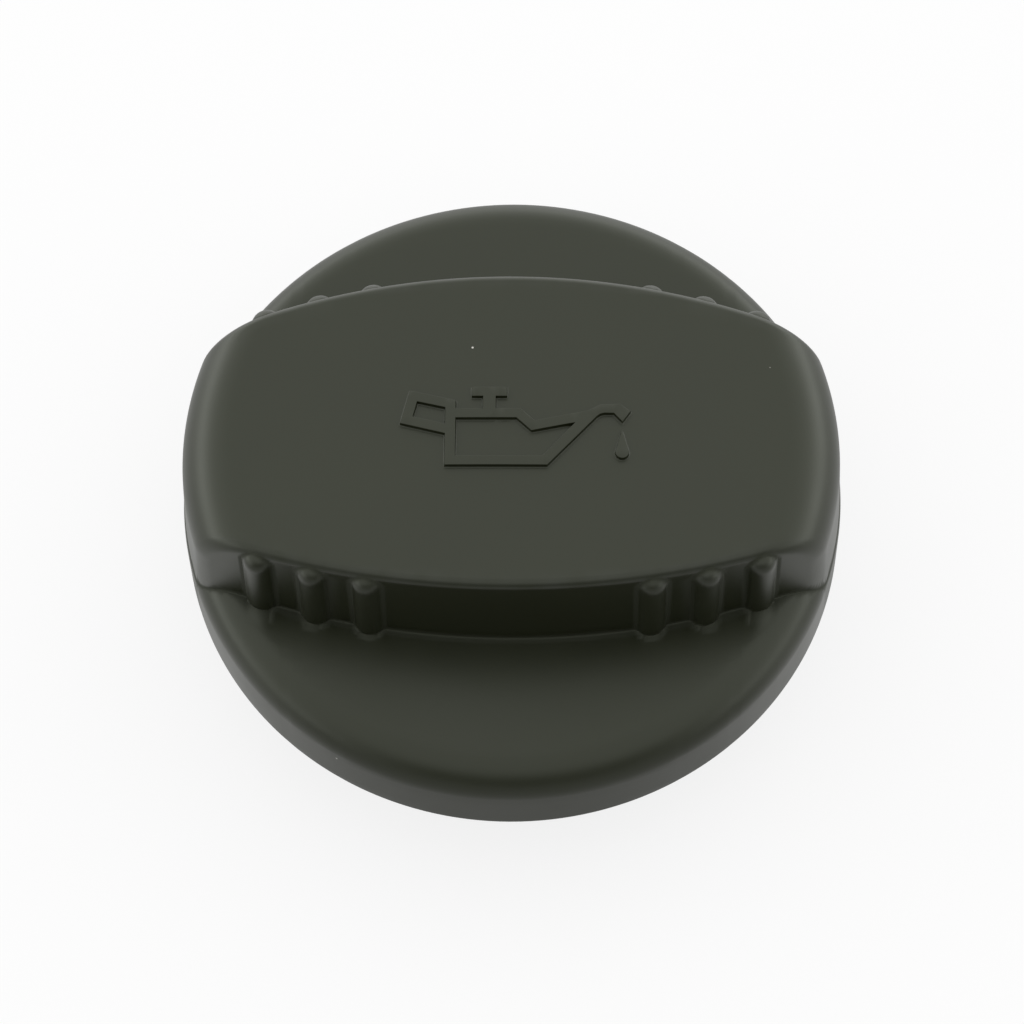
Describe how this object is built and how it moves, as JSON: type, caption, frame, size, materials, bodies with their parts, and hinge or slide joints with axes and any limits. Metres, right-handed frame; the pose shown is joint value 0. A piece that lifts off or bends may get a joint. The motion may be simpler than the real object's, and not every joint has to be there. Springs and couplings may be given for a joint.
{
  "type": "oil filler cap",
  "caption": "Black moulded engine oil filler cap with a wide bowed hollow grip, half-round finger ribs, a bayonet plug and a sealing ring",
  "frame": {"origin": "centre of the end of the plug's tube, on which the cap stands", "axes": "+Z along the cap's axis and out of the engine, +X along the grip"},
  "size_m": [0.07, 0.07, 0.0337],
  "materials": {
    "cover_plastic": "satin moulded glass-filled nylon",
    "plug_plastic": "matt moulded glass-filled nylon",
    "seal_rubber": "matt nitrile rubber"
  },
  "bodies": {
    "root": {"cover": "cover_plastic", "bayonet_plug": "plug_plastic", "seal": "seal_rubber"}
  },
  "joints": []
}
